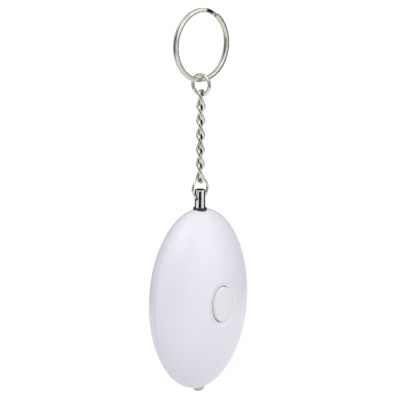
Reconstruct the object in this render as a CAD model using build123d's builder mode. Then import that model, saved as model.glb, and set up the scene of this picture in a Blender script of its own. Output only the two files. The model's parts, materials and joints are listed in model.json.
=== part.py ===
from build123d import *
from math import cos, degrees, hypot, pi, radians, sin, sqrt
import os

# Personal safety alarm on a key ring: an egg-shaped case hangs from a split ring by a jump ring,
# six twisted chain links, a second jump ring and a pull pin.
# Millimetres, +Z up, the front with the button faces -Y. The origin is the centre of the split ring.

os.makedirs("parts", exist_ok=True)

# Split ring, two coils of flat wire side by side
ring_diameter = 25.0
band_width = 1.5
coil_thickness = 0.7
coil_gap = 0.1
band_rounding = 0.2
jog_turn = 73.0
jog_span = 19.0
coil_end_gap = 1.5
jog_steps = 8

# Jump rings, round wire
upper_ring_diameter = 7.95
upper_ring_wire = 1.2
upper_ring_turn = -78.0
lower_ring_diameter = 7.8
lower_ring_wire = 0.85
ring_cut = 0.08
wire_clearance = 0.06

# Chain links, round wire bent into a loop and twisted by a quarter turn
link_count = 6
link_pitch = 5.08
link_wire = 1.15
link_bend_radius = 1.33
link_top_turn = 20.0
link_bottom_turn = 110.0

# Pull pin and its insulating tip
pin_diameter = 3.8
pin_head_length = 6.35
pin_rim_rounding = 0.3
pin_hole_depth = 2.9
pin_hole_clearance = 0.14
shaft_diameter = 2.5
shaft_length = 8.0
spigot_diameter = 1.2
spigot_length = 1.6
tip_length = 3.2
tip_taper = 0.8

# Case, an egg: an ellipsoid in all three directions
case_height = 66.0
case_width = 42.0
case_depth = 25.0
wall = 1.8
post_root_share = 0.8
parting_width = 0.3
parting_depth = 0.4

# Running and seating clearances, and the overrun of cuts
slide_clearance = 0.05
seat_clearance = 0.05
overrun = 1.0

# Pin socket in the top of the case
collar_diameter = 4.8
collar_height = 0.35
collar_rounding = 0.12
socket_flange_diameter = 6.0
socket_flange_thickness = 1.2
socket_flange_drop = 2.4
sleeve_diameter = 5.0
sleeve_length = 6.8

# Torch lamp in the bottom of the case
lamp_diameter = 5.0
lamp_flange_diameter = 5.8
lamp_flange_thickness = 1.0
lamp_body_length = 5.1
lamp_proud = 1.6
lamp_seat_wall = 1.5
lead_diameter = 0.5
lead_spacing = 2.54
lead_bend_radius = 0.7
lead_rise = 1.6
lead_end_rise = 1.3
lead_gap = 0.8
lead_shell_gap = 0.1
lead_slope_rise = 3.4
lead_slope_depth = 0.7

# Push button and the dish round it
button_width = 8.6
button_height = 12.6
button_rise = 1.0
button_set_back = -0.15
button_rounding = 0.6
button_flange = 0.8
button_flange_thickness = 0.8
button_guide_end = 3.1
button_skin = 1.2
button_stem_diameter = 4.0
button_gap = 0.3
button_travel = 0.4
guide_wall = 1.0
dish_width = 15.0
dish_height = 18.0
dish_depth = 1.45
dish_lift = 0.6
dish_rounding = 0.8

# Case screws, their bosses and recesses
boss_diameter = 5.4
screw_diameter = 2.0
screw_length = 8.0
screw_head_diameter = 3.6
screw_head_height = 1.4
screw_seat = 4.4
screw_play = 0.3
recess_diameter = 4.2
pilot_share = 0.85
driver_slot_share = 0.55
driver_slot_width_share = 0.25
boss_place_shares = ((-0.6, 0.48), (0.6, 0.48), (-0.33, -0.76), (0.33, -0.76))

# Circuit board and the tactile switch behind the button
board_width = 18.0
board_height = 26.0
board_thickness = 1.0
board_corner = 2.0
board_above_button = 17.5
post_diameter = 3.2
post_inset = 2.2
board_screw_diameter = 1.7
board_screw_length = 4.5
board_screw_head_diameter = 3.0
board_screw_head_height = 0.8
switch_side = 6.0
switch_height = 3.5
switch_rise = 0.8
switch_bore_depth = 1.6
plunger_diameter = 3.4

# Parts on the back of the board
coil_core_diameter = 6.4
coil_core_height = 6.0
coil_rim_thickness = 1.0
coil_waist_diameter = 3.0
coil_winding_diameter = 5.4
coil_drop = 7.5
chip_width = 4.0
chip_length = 5.0
chip_height = 1.5
chip_drop = 14.5
parts_offset = 4.5
transistor_diameter = 4.8
transistor_flat = 1.3
transistor_height = 4.6
capacitor_diameter = 4.0
capacitor_height = 5.2
low_parts_drop = 21.0
resistor_length = 2.0
resistor_width = 1.25
resistor_height = 0.5
resistor_pitch = 2.0
resistor_count = 3
resistor_start = 5.8

# Contact strips that the pin tip holds apart
strip_thickness = 0.25
strip_width = 2.0
strip_overlap = 2.6
strip_foot = 1.7

# Three button cells in a tray
cell_count = 3
cell_diameter = 11.6
cell_thickness = 5.4
cell_cap_diameter = 9.8
cell_cap_height = 0.5
cell_rounding = 0.4
cell_drop = 14.9
cell_set_back = 0.5
tray_wall = 1.1
tray_front_wall = 0.7
tray_open_side = 2.0
tray_clearance = 0.2
contact_thickness = 0.3
contact_width = 6.0
contact_bump_diameter = 2.4
contact_bump_height = 0.35
contact_drop = 4.0
contact_tab_rise = 2.0
contact_tab_height = 1.8
tray_post_diameter = 2.6
keeper_thickness = 1.2

# Sounder on the rear shell
plate_diameter = 20.0
plate_thickness = 0.25
ceramic_diameter = 14.0
ceramic_thickness = 0.2
sounder_rise = 6.0
sounder_set_back = 5.4
sounder_rim_wall = 1.4
sound_hole_diameter = 1.4
sound_ring_pitch = 2.9
sound_ring_count = 2
first_ring_holes = 6

# Insulated wires from the board to the sounder
insulation_diameter = 0.9
insulation_bend_radius = 1.2
plate_wire_x = 8.6
ceramic_wire_x = 4.0
ceramic_wire_rise = 3.8
board_wire_x = 7.6
plate_wire_drop = 7.7
ceramic_wire_drop = 5.2
plate_wire_gap = 4.4
ceramic_wire_gap = 2.8

# Heights along the chain, from the split ring down
band_depth = 2 * coil_thickness + coil_gap
band_radius = (ring_diameter - band_width) / 2
upper_bend_radius = (upper_ring_diameter - upper_ring_wire) / 2
upper_inner_radius = upper_bend_radius - upper_ring_wire / 2
upper_z = -band_radius - upper_inner_radius + hypot(band_width, band_depth) / 2 + wire_clearance
link_height = link_pitch + link_wire + wire_clearance
first_link_z = upper_z - upper_bend_radius + (upper_ring_wire + link_wire) / 2 + wire_clearance
last_link_z = first_link_z - (link_count - 1) * link_pitch - link_height
lower_bend_radius = (lower_ring_diameter - lower_ring_wire) / 2
lower_z = last_link_z + (link_wire + lower_ring_wire) / 2 + wire_clearance - lower_bend_radius
lower_wire_z = lower_z - lower_bend_radius
wire_sag = lower_bend_radius - sqrt(lower_bend_radius**2 - (pin_diameter / 2) ** 2)
pin_hole_diameter = lower_ring_wire + wire_sag + 2 * pin_hole_clearance
pin_hole_z = lower_wire_z + wire_sag / 2
pin_top_z = pin_hole_z + pin_hole_depth
pin_seat_z = pin_top_z - pin_head_length
shaft_end_z = pin_seat_z - shaft_length
tip_end_z = shaft_end_z - tip_length
collar_top_z = pin_seat_z - seat_clearance

# Case reference sizes
half_width = case_width / 2
half_depth = case_depth / 2
half_height = case_height / 2
case_top_z = collar_top_z - collar_height
case_z = case_top_z - half_height
case_bottom_z = case_z - half_height
button_z = case_z + button_rise


def case_form(inset):
    """The egg as a solid, with each half size reduced by inset."""
    with BuildPart() as form:
        Sphere(1)
        scale(by=(half_width - inset, half_depth - inset, half_height - inset))
    return form.part.moved(Location((0, 0, case_z)))


def round_wire(edges, diameter):
    """One solid of round wire along tangent edges."""
    with BuildPart() as wire:
        for edge in edges:
            with BuildSketch(Plane(origin=edge @ 0, z_dir=edge % 0)):
                Circle(diameter / 2)
            sweep(path=edge)
    return wire.part


def cut_ring(plane, bend_radius, wire_diameter):
    """A jump ring in a plane, cut through at the side by a saw."""
    start = degrees(ring_cut / bend_radius)
    with BuildLine(plane) as path:
        CenterArc((0, 0), bend_radius, start, 360 - 2 * start)
    return round_wire(path.edges(), wire_diameter)


def turned_plane(turn, z):
    """An upright plane through the Z axis, turned about it, with its own Y up."""
    across = (cos(radians(turn)), sin(radians(turn)), 0)
    normal = (sin(radians(turn)), -cos(radians(turn)), 0)
    return Plane(origin=(0, 0, z), x_dir=across, z_dir=normal)


def front_plane(y):
    """An upright plane at a depth, seen from the front: its X is X and its Y is Z."""
    return Plane.XZ.offset(-y)


def bent_path(points, bend_radius):
    """Straight runs through the points, joined by tangent arcs."""
    with BuildLine() as path:
        FilletPolyline(*points, radius=bend_radius)
    return path.edges()


# Split ring: one coil in front, a step, and one coil behind, wound as one length of wire
def band_section(turn, y):
    """The flat wire's section at an angle round the ring."""
    outward = (cos(radians(turn)), 0, sin(radians(turn)))
    along = (-sin(radians(turn)), 0, cos(radians(turn)))
    centre = (band_radius * outward[0], y, band_radius * outward[2])
    with BuildSketch(Plane(origin=centre, x_dir=outward, z_dir=along)) as section:
        RectangleRounded(band_width, coil_thickness, band_rounding)
    return section.sketch


coil_y = (coil_thickness + coil_gap) / 2
coil_turn = 360 - jog_span - degrees(coil_end_gap / band_radius)
ring_axis = Axis((0, 0, 0), (0, -1, 0))
with BuildPart() as split_ring:
    for side, first_turn in ((-1, jog_turn + jog_span / 2), (1, jog_turn - jog_span / 2)):
        add(band_section(first_turn, side * coil_y))
        revolve(axis=ring_axis, revolution_arc=-side * coil_turn)
    for step in range(jog_steps + 1):
        share = step / jog_steps
        add(band_section(jog_turn + jog_span * (share - 1 / 2), coil_y * cos(pi * share)))
    loft()
split_ring.part.label = "split_ring"
export_step(split_ring.part, "parts/split_ring.step")

# Jump rings
with BuildPart() as upper_jump_ring:
    add(cut_ring(turned_plane(upper_ring_turn, upper_z), upper_bend_radius, upper_ring_wire))
upper_jump_ring.part.label = "upper_jump_ring"
export_step(upper_jump_ring.part, "parts/upper_jump_ring.step")

with BuildPart() as lower_jump_ring:
    add(cut_ring(turned_plane(0, lower_z), lower_bend_radius, lower_ring_wire))
lower_jump_ring.part.label = "lower_jump_ring"
export_step(lower_jump_ring.part, "parts/lower_jump_ring.step")


def link_path(top_z):
    """Centre line of a twisted link: a half circle at each end, joined by two S-shaped strands."""
    upper = turned_plane(link_top_turn, top_z - link_bend_radius)
    lower = turned_plane(link_bottom_turn, top_z - link_height + link_bend_radius)
    with BuildLine() as path:
        for plane, rise in ((upper, link_bend_radius), (lower, -link_bend_radius)):
            ends = [plane.from_local_coords((side * link_bend_radius, 0, 0)) for side in (-1, 1)]
            ThreePointArc(ends[0], plane.from_local_coords((0, rise, 0)), ends[1])
        for side in (-1, 1):
            start = upper.from_local_coords((side * link_bend_radius, 0, 0))
            end = lower.from_local_coords((side * link_bend_radius, 0, 0))
            middle = (start + end) / 2
            TangentArc(start, middle, tangent=(0, 0, -1))
            TangentArc(end, middle, tangent=(0, 0, 1))
    return path.edges()


# Chain links, all alike
link_tops = [first_link_z - number * link_pitch for number in range(link_count)]
for number, top_z in enumerate(link_tops, start=1):
    with BuildPart() as chain_link:
        add(round_wire(link_path(top_z), link_wire))
    chain_link.part.label = f"chain_link_{number}"
    export_step(chain_link.part, f"parts/chain_link_{number}.step")

# Pull pin: a round head with a cross hole for the lower jump ring, and a thinner shaft
with BuildPart() as pull_pin:
    with BuildSketch(Plane.XY.offset(pin_seat_z)):
        Circle(pin_diameter / 2)
    extrude(amount=pin_head_length)
    fillet(edges().group_by(Axis.Z)[-1], pin_rim_rounding)
    with BuildSketch(Plane.XY.offset(pin_seat_z)):
        Circle(shaft_diameter / 2)
    extrude(amount=-shaft_length)
    with BuildSketch(Plane.XY.offset(shaft_end_z)):
        Circle(spigot_diameter / 2)
    extrude(amount=-spigot_length)
    with BuildSketch(Plane.YZ):
        with Locations((0, pin_hole_z)):
            Circle(pin_hole_diameter / 2)
    extrude(amount=pin_diameter, both=True, mode=Mode.SUBTRACT)
pull_pin.part.label = "pull_pin"
export_step(pull_pin.part, "parts/pull_pin.step")

with BuildPart() as pin_tip:
    with BuildSketch(Plane.XY.offset(shaft_end_z)):
        Circle(shaft_diameter / 2)
    extrude(amount=-tip_length)
    chamfer(edges().group_by(Axis.Z)[0], tip_taper)
    with BuildSketch(Plane.XY.offset(shaft_end_z)):
        Circle(spigot_diameter / 2)
    extrude(amount=-spigot_length, mode=Mode.SUBTRACT)
pin_tip.part.label = "pin_tip"
export_step(pin_tip.part, "parts/pin_tip.step")

# Pin socket: a collar above the case, a flange caught under its wall, and a guide sleeve
flange_top_z = case_top_z - socket_flange_drop
sleeve_end_z = collar_top_z - sleeve_length
with BuildPart() as pin_socket:
    with BuildSketch(Plane.XY.offset(collar_top_z)):
        Circle(collar_diameter / 2)
    extrude(amount=flange_top_z - collar_top_z)
    fillet(edges().group_by(Axis.Z)[-1], collar_rounding)
    with BuildSketch(Plane.XY.offset(flange_top_z)):
        Circle(socket_flange_diameter / 2)
    extrude(amount=-socket_flange_thickness)
    with BuildSketch(Plane.XY.offset(flange_top_z)):
        Circle(sleeve_diameter / 2)
    extrude(amount=sleeve_end_z - flange_top_z)
    with BuildSketch(Plane.XY.offset(collar_top_z)):
        Circle(shaft_diameter / 2 + slide_clearance)
    extrude(amount=-sleeve_length, mode=Mode.SUBTRACT)
pin_socket.part.label = "pin_socket"
export_step(pin_socket.part, "parts/pin_socket.step")

# Torch lamp: a clear round-nosed lens with a flange, and its two leads
lamp_tip_z = case_bottom_z - lamp_proud
lamp_nose_z = lamp_tip_z + lamp_diameter / 2
lamp_flange_z = lamp_nose_z + lamp_body_length
lamp_top_z = lamp_flange_z + lamp_flange_thickness
with BuildPart() as torch_lamp:
    with BuildSketch(Plane.XY.offset(lamp_nose_z)):
        Circle(lamp_diameter / 2)
    extrude(amount=lamp_body_length)
    with Locations((0, 0, lamp_nose_z)):
        Sphere(lamp_diameter / 2)
    with BuildSketch(Plane.XY.offset(lamp_flange_z)):
        Circle(lamp_flange_diameter / 2)
    extrude(amount=lamp_flange_thickness)
torch_lamp.part.label = "torch_lamp"
export_step(torch_lamp.part, "parts/torch_lamp.step")

# Depths from the parting plane, counted towards the back
button_face_y = -half_depth + button_set_back
guide_end_y = -half_depth + button_guide_end
flange_back_y = guide_end_y + seat_clearance + button_flange_thickness
plunger_face_y = flange_back_y + seat_clearance
switch_face_y = plunger_face_y + switch_rise
board_front_y = switch_face_y + switch_height
board_back_y = board_front_y + board_thickness
board_top_z = button_z + board_above_button
board_z = board_top_z - board_height / 2
board_bottom_z = board_top_z - board_height

# Push button: an oval cap with a flange behind the shell and a stem on the switch
with BuildPart() as push_button:
    with BuildSketch(front_plane(guide_end_y + seat_clearance)):
        with Locations((0, button_z)):
            Ellipse(button_width / 2, button_height / 2)
    extrude(amount=guide_end_y + seat_clearance - button_face_y)
    fillet(edges().group_by(Axis.Y)[0], button_rounding)
    with BuildSketch(front_plane(flange_back_y)):
        with Locations((0, button_z)):
            Ellipse(button_width / 2 + button_flange, button_height / 2 + button_flange)
    extrude(amount=button_flange_thickness)
    with BuildSketch(front_plane(flange_back_y)):
        with Locations((0, button_z)):
            Ellipse(button_width / 2 - button_skin, button_height / 2 - button_skin)
            Circle(button_stem_diameter / 2, mode=Mode.SUBTRACT)
    extrude(amount=flange_back_y - button_face_y - button_skin, mode=Mode.SUBTRACT)
push_button.part.label = "push_button"
export_step(push_button.part, "parts/push_button.step")

# Forms that the two shells share
outer_form = case_form(0.0)
cavity_form = case_form(wall)
post_form = case_form(wall * post_root_share)
groove_form = case_form(parting_depth)
boss_places = [(half_width * across, case_z + half_height * up) for across, up in boss_place_shares]
cell_z = case_z - cell_drop
sounder_z = case_z + sounder_rise

with BuildPart() as parting_groove:
    with Locations((0, 0, case_z)):
        Box(case_width + overrun, parting_width, case_height + overrun)
    add(groove_form, mode=Mode.SUBTRACT)

# Round openings through both shells: the pin socket above and the lamp below
with BuildPart() as end_openings:
    with BuildSketch(Plane.XY.offset(case_top_z + overrun)):
        Circle(collar_diameter / 2 + slide_clearance)
    extrude(amount=-overrun - socket_flange_drop)
    with BuildSketch(Plane.XY.offset(flange_top_z + seat_clearance)):
        Circle(socket_flange_diameter / 2 + slide_clearance)
    extrude(amount=sleeve_end_z - flange_top_z)
    with BuildSketch(Plane.XY.offset(case_bottom_z - overrun)):
        Circle(lamp_diameter / 2 + slide_clearance)
    extrude(amount=overrun + wall + lamp_body_length)

with BuildPart() as lamp_seat:
    with BuildSketch(Plane.XY.offset(case_bottom_z)):
        Circle(lamp_diameter / 2 + lamp_seat_wall)
    extrude(amount=lamp_flange_z - seat_clearance - case_bottom_z)

# Front shell: half of the egg with the button's dish, guide, screw bosses and posts
guide_half_width = button_width / 2 + button_gap
guide_half_height = button_height / 2 + button_gap
post_x = board_width / 2 - post_inset
post_rise = board_height / 2 - post_inset
post_places = [(side * post_x, board_z + end * post_rise) for side in (-1, 1) for end in (-1, 1)]
screwed_posts = [post_places[0], post_places[3]]
stack_end_x = cell_count * cell_thickness / 2
tray_x = stack_end_x + contact_bump_height + contact_thickness + tray_clearance
tray_front_y = cell_set_back - cell_diameter / 2 - tray_clearance - tray_front_wall
tray_half_height = cell_diameter / 2 + tray_clearance + tray_front_wall
tray_post_x = tray_x - tray_post_diameter
tray_post_rise = tray_half_height / 2
tray_post_places = [
    (side * tray_post_x, cell_z + end * tray_post_rise) for side in (-1, 1) for end in (-1, 1)
]

with BuildPart() as front_posts:
    for places, diameter, end_y in (
        (boss_places, boss_diameter, 0.0),
        (post_places, post_diameter, board_front_y),
        (tray_post_places, tray_post_diameter, tray_front_y),
    ):
        with BuildSketch(front_plane(-half_depth)):
            with Locations(*places):
                Circle(diameter / 2)
        extrude(amount=-half_depth - end_y)
    with BuildSketch(front_plane(-half_depth)):
        with Locations((0, button_z)):
            Ellipse(guide_half_width + guide_wall, guide_half_height + guide_wall)
            Ellipse(guide_half_width, guide_half_height, mode=Mode.SUBTRACT)
    extrude(amount=-button_guide_end)
    add(lamp_seat.part)
    add(post_form, mode=Mode.INTERSECT)
    split(bisect_by=Plane.XZ)

# The dish is cut by a flattened ball whose centre stands in front of the face
dish_reach = sqrt(1.0 - (dish_lift / (dish_lift + dish_depth)) ** 2)
dish_radii = (dish_width / 2 / dish_reach, dish_lift + dish_depth, dish_height / 2 / dish_reach)
with BuildPart() as dish:
    Sphere(1)
    scale(by=dish_radii)
dish_place = Location((0, -half_depth - dish_lift, button_z))

with BuildPart() as front_shell:
    add(outer_form)
    split(bisect_by=Plane.XZ)
    add(dish.part.moved(dish_place), mode=Mode.SUBTRACT)
    fillet(edges().group_by(Axis.Y)[0], dish_rounding)
    add(cavity_form, mode=Mode.SUBTRACT)
    add(front_posts.part)
    add(parting_groove.part, mode=Mode.SUBTRACT)
    add(end_openings.part, mode=Mode.SUBTRACT)
    with BuildSketch(front_plane(guide_end_y + overrun)):
        with Locations((0, button_z)):
            Ellipse(guide_half_width, guide_half_height)
    extrude(amount=case_depth, mode=Mode.SUBTRACT)
    with BuildSketch(front_plane(0)):
        with Locations(*boss_places):
            Circle(screw_diameter / 2 * pilot_share)
    extrude(amount=screw_length - screw_seat + overrun, mode=Mode.SUBTRACT)
    with BuildSketch(front_plane(board_front_y)):
        with Locations(*screwed_posts):
            Circle(board_screw_diameter / 2 * pilot_share)
    extrude(amount=board_screw_length - board_thickness, mode=Mode.SUBTRACT)
front_shell.part.label = "front_shell"
export_step(front_shell.part, "parts/front_shell.step")

# Rear shell: the other half with screw recesses, sound holes, sounder rim and cell keepers
sound_places = [(0, sounder_z)]
for ring in range(1, sound_ring_count + 1):
    ring_radius = ring * sound_ring_pitch
    ring_holes = ring * first_ring_holes
    for step in range(ring_holes):
        turn = 2 * pi * step / ring_holes
        sound_places.append((ring_radius * cos(turn), sounder_z + ring_radius * sin(turn)))
keeper_y = cell_set_back + cell_diameter / 2 + tray_clearance

with BuildPart() as rear_posts:
    with BuildSketch(front_plane(half_depth)):
        with Locations(*boss_places):
            Circle(boss_diameter / 2)
    extrude(amount=half_depth)
    with BuildSketch(front_plane(half_depth)):
        with Locations((0, sounder_z)):
            Circle(plate_diameter / 2)
            Circle(plate_diameter / 2 - sounder_rim_wall, mode=Mode.SUBTRACT)
    extrude(amount=half_depth - sounder_set_back - plate_thickness)
    with BuildSketch(front_plane(half_depth)):
        with Locations(*[(side * cell_thickness, cell_z) for side in (-1, 0, 1)]):
            Rectangle(keeper_thickness, cell_diameter / 2)
    extrude(amount=half_depth - keeper_y)
    add(lamp_seat.part)
    add(post_form, mode=Mode.INTERSECT)
    split(bisect_by=Plane.XZ, keep=Keep.BOTTOM)

with BuildPart() as rear_shell:
    add(outer_form)
    split(bisect_by=Plane.XZ, keep=Keep.BOTTOM)
    add(cavity_form, mode=Mode.SUBTRACT)
    add(rear_posts.part)
    add(parting_groove.part, mode=Mode.SUBTRACT)
    add(end_openings.part, mode=Mode.SUBTRACT)
    with BuildSketch(front_plane(0)):
        with Locations(*boss_places):
            Circle((screw_diameter + screw_play) / 2)
        with Locations(*sound_places):
            Circle(sound_hole_diameter / 2)
    extrude(amount=-case_depth, mode=Mode.SUBTRACT)
    with BuildSketch(front_plane(screw_seat)):
        with Locations(*boss_places):
            Circle(recess_diameter / 2)
    extrude(amount=-case_depth, mode=Mode.SUBTRACT)
rear_shell.part.label = "rear_shell"
export_step(rear_shell.part, "parts/rear_shell.step")


def screws(places, seat_y, sizes):
    """Pan-head screws with a cross recess, their heads seated at seat_y and facing the back."""
    diameter, length, head_diameter, head_height = sizes
    with BuildPart() as group:
        with BuildSketch(front_plane(seat_y)):
            with Locations(*places):
                Circle(diameter / 2)
        extrude(amount=length)
        with BuildSketch(front_plane(seat_y)):
            with Locations(*places):
                Circle(head_diameter / 2)
        extrude(amount=-head_height)
        fillet(group.edges().group_by(Axis.Y)[-1], head_height / 2)
        with BuildSketch(front_plane(seat_y + head_height)):
            with Locations(*places):
                for turn in (0, 90):
                    SlotOverall(
                        head_diameter * driver_slot_share, diameter * driver_slot_width_share, rotation=turn
                    )
        extrude(amount=head_height / 2, mode=Mode.SUBTRACT)
    return group.part


case_screw_sizes = (screw_diameter * pilot_share, screw_length, screw_head_diameter, screw_head_height)
with BuildPart() as case_screws:
    add(screws(boss_places, screw_seat, case_screw_sizes))
case_screws.part.label = "case_screws"
export_step(case_screws.part, "parts/case_screws.step")

board_screw_shank = board_screw_diameter * pilot_share
board_head_sizes = (board_screw_head_diameter, board_screw_head_height)
board_screw_sizes = (board_screw_shank, board_screw_length, *board_head_sizes)
with BuildPart() as board_screws:
    add(screws(screwed_posts, board_back_y, board_screw_sizes))
board_screws.part.label = "board_screws"
export_step(board_screws.part, "parts/board_screws.step")

# Circuit board, and the tactile switch on its front
with BuildPart() as circuit_board:
    with BuildSketch(front_plane(board_back_y)):
        with Locations((0, board_z)):
            RectangleRounded(board_width, board_height, board_corner)
        with Locations(*screwed_posts):
            Circle((board_screw_diameter + screw_play) / 2, mode=Mode.SUBTRACT)
    extrude(amount=board_thickness)
circuit_board.part.label = "circuit_board"
export_step(circuit_board.part, "parts/circuit_board.step")

with BuildPart() as switch_body:
    with BuildSketch(front_plane(board_front_y)):
        with Locations((0, button_z)):
            Rectangle(switch_side, switch_side)
    extrude(amount=switch_height)
    with BuildSketch(front_plane(switch_face_y)):
        with Locations((0, button_z)):
            Circle(plunger_diameter / 2 + slide_clearance)
    extrude(amount=-switch_bore_depth, mode=Mode.SUBTRACT)
switch_body.part.label = "switch_body"
export_step(switch_body.part, "parts/switch_body.step")

with BuildPart() as switch_plunger:
    with BuildSketch(front_plane(switch_face_y + switch_bore_depth - button_travel - seat_clearance)):
        with Locations((0, button_z)):
            Circle(plunger_diameter / 2)
    extrude(amount=switch_bore_depth - button_travel - seat_clearance + switch_rise)
switch_plunger.part.label = "switch_plunger"
export_step(switch_plunger.part, "parts/switch_plunger.step")

# Parts on the back of the board: step-up coil, driver chip, transistor, capacitor, resistors
coil_z = board_top_z - coil_drop
with BuildPart() as coil_core:
    for offset, diameter, height in (
        (0.0, coil_core_diameter, coil_rim_thickness),
        (0.0, coil_waist_diameter, coil_core_height),
        (coil_core_height - coil_rim_thickness, coil_core_diameter, coil_rim_thickness),
    ):
        with BuildSketch(front_plane(board_back_y + offset)):
            with Locations((0, coil_z)):
                Circle(diameter / 2)
        extrude(amount=-height)
coil_core.part.label = "coil_core"
export_step(coil_core.part, "parts/coil_core.step")

with BuildPart() as coil_winding:
    with BuildSketch(front_plane(board_back_y + coil_rim_thickness)):
        with Locations((0, coil_z)):
            Circle(coil_winding_diameter / 2)
            Circle(coil_waist_diameter / 2, mode=Mode.SUBTRACT)
    extrude(amount=2 * coil_rim_thickness - coil_core_height)
coil_winding.part.label = "coil_winding"
export_step(coil_winding.part, "parts/coil_winding.step")

with BuildPart() as driver_chip:
    with BuildSketch(front_plane(board_back_y)):
        with Locations((-parts_offset, board_top_z - chip_drop)):
            Rectangle(chip_width, chip_length)
    extrude(amount=-chip_height)
driver_chip.part.label = "driver_chip"
export_step(driver_chip.part, "parts/driver_chip.step")

with BuildPart() as transistor:
    with BuildSketch(front_plane(board_back_y)):
        with Locations((parts_offset, board_top_z - chip_drop)):
            Circle(transistor_diameter / 2)
        with Locations((parts_offset + transistor_flat + transistor_diameter / 2, board_top_z - chip_drop)):
            Rectangle(transistor_diameter, transistor_diameter, mode=Mode.SUBTRACT)
    extrude(amount=-transistor_height)
transistor.part.label = "transistor"
export_step(transistor.part, "parts/transistor.step")

with BuildPart() as capacitor:
    with BuildSketch(front_plane(board_back_y)):
        with Locations((parts_offset, board_top_z - low_parts_drop)):
            Circle(capacitor_diameter / 2)
    extrude(amount=-capacitor_height)
capacitor.part.label = "capacitor"
export_step(capacitor.part, "parts/capacitor.step")

resistor_row = [count * resistor_pitch - resistor_start for count in range(resistor_count)]
with BuildPart() as resistors:
    with BuildSketch(front_plane(board_back_y)):
        with Locations(*[(x, board_top_z - low_parts_drop) for x in resistor_row]):
            Rectangle(resistor_width, resistor_length)
    extrude(amount=-resistor_height)
resistors.part.label = "resistors"
export_step(resistors.part, "parts/resistors.step")

# Contact strips either side of the pin tip, soldered to the back of the board
strip_top_z = tip_end_z + strip_overlap
strip_end_z = board_top_z - strip_foot
for side, label in ((-1, "contact_strip_left"), (1, "contact_strip_right")):
    strip_x = side * (shaft_diameter / 2 + slide_clearance)
    with BuildPart() as contact_strip:
        with BuildSketch(Plane.YZ.offset(strip_x)):
            with Locations((0, (strip_top_z + strip_end_z) / 2)):
                Rectangle(strip_width, strip_top_z - strip_end_z)
            with Locations(((board_back_y + strip_width / 2) / 2, (board_top_z + strip_end_z) / 2)):
                Rectangle(strip_width / 2 - board_back_y, board_top_z - strip_end_z)
        extrude(amount=side * strip_thickness)
    contact_strip.part.label = label
    export_step(contact_strip.part, f"parts/{label}.step")

# Button cells in a row across the case, each with its smaller cap to the left
for number in range(cell_count):
    cell_x = number * cell_thickness - stack_end_x
    with BuildPart() as button_cell:
        with BuildSketch(Plane.YZ.offset(cell_x + cell_cap_height)):
            with Locations((cell_set_back, cell_z)):
                Circle(cell_diameter / 2)
        extrude(amount=cell_thickness - cell_cap_height)
        fillet(edges().filter_by(GeomType.CIRCLE), cell_rounding)
        with BuildSketch(Plane.YZ.offset(cell_x)):
            with Locations((cell_set_back, cell_z)):
                Circle(cell_cap_diameter / 2)
        extrude(amount=cell_cap_height)
    button_cell.part.label = f"button_cell_{number + 1}"
    export_step(button_cell.part, f"parts/button_cell_{number + 1}.step")

# Tray under the cells, open to the back, with a pocket at each end for a contact plate
inner_form = case_form(wall + tray_clearance)
pocket_width = contact_width + 2 * tray_clearance
with BuildPart() as cell_tray:
    with BuildSketch(front_plane(tray_front_y)):
        with Locations((0, cell_z)):
            Rectangle(2 * (tray_x + tray_wall), 2 * tray_half_height)
    extrude(amount=tray_front_y - tray_open_side)
    with BuildSketch(Plane.YZ):
        with Locations((cell_set_back, cell_z)):
            Circle(cell_diameter / 2 + tray_clearance)
    extrude(amount=stack_end_x + contact_bump_height, both=True, mode=Mode.SUBTRACT)
    for start in (-tray_x, tray_x - contact_thickness - tray_clearance - contact_bump_height):
        with BuildSketch(Plane.YZ.offset(start)):
            with Locations((cell_set_back, cell_z + tray_half_height - contact_drop)):
                Rectangle(pocket_width, 2 * tray_half_height)
        extrude(amount=contact_thickness + tray_clearance + contact_bump_height, mode=Mode.SUBTRACT)
    add(inner_form, mode=Mode.INTERSECT)
cell_tray.part.label = "cell_tray"
export_step(cell_tray.part, "parts/cell_tray.step")

# Contact plates at the ends of the row, each with a pressed bump and a tab up to the board
contact_low_z = cell_z - contact_drop
contact_top_z = board_bottom_z + contact_tab_rise
contact_back_y = cell_set_back + contact_width / 2
for side, label in ((-1, "negative_contact"), (1, "positive_contact")):
    with BuildPart() as contact_plate:
        with BuildSketch(Plane.YZ.offset(side * (stack_end_x + contact_bump_height))):
            with Locations((cell_set_back, (contact_low_z + contact_top_z) / 2)):
                Rectangle(contact_width, contact_top_z - contact_low_z)
            with Locations(((board_back_y + contact_back_y) / 2, contact_top_z - contact_tab_height / 2)):
                Rectangle(contact_back_y - board_back_y, contact_tab_height)
        extrude(amount=side * contact_thickness)
        with BuildSketch(Plane.YZ.offset(side * stack_end_x)):
            with Locations((cell_set_back, cell_z)):
                Circle(contact_bump_diameter / 2)
        extrude(amount=side * contact_bump_height)
    contact_plate.part.label = label
    export_step(contact_plate.part, f"parts/{label}.step")

# Sounder: a ceramic disc on a brass plate, which rests on the rim in the rear shell
with BuildPart() as sounder_plate:
    with BuildSketch(front_plane(sounder_set_back + plate_thickness)):
        with Locations((0, sounder_z)):
            Circle(plate_diameter / 2)
    extrude(amount=plate_thickness)
sounder_plate.part.label = "sounder_plate"
export_step(sounder_plate.part, "parts/sounder_plate.step")

with BuildPart() as sounder_ceramic:
    with BuildSketch(front_plane(sounder_set_back)):
        with Locations((0, sounder_z)):
            Circle(ceramic_diameter / 2)
    extrude(amount=ceramic_thickness)
sounder_ceramic.part.label = "sounder_ceramic"
export_step(sounder_ceramic.part, "parts/sounder_ceramic.step")

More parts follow.
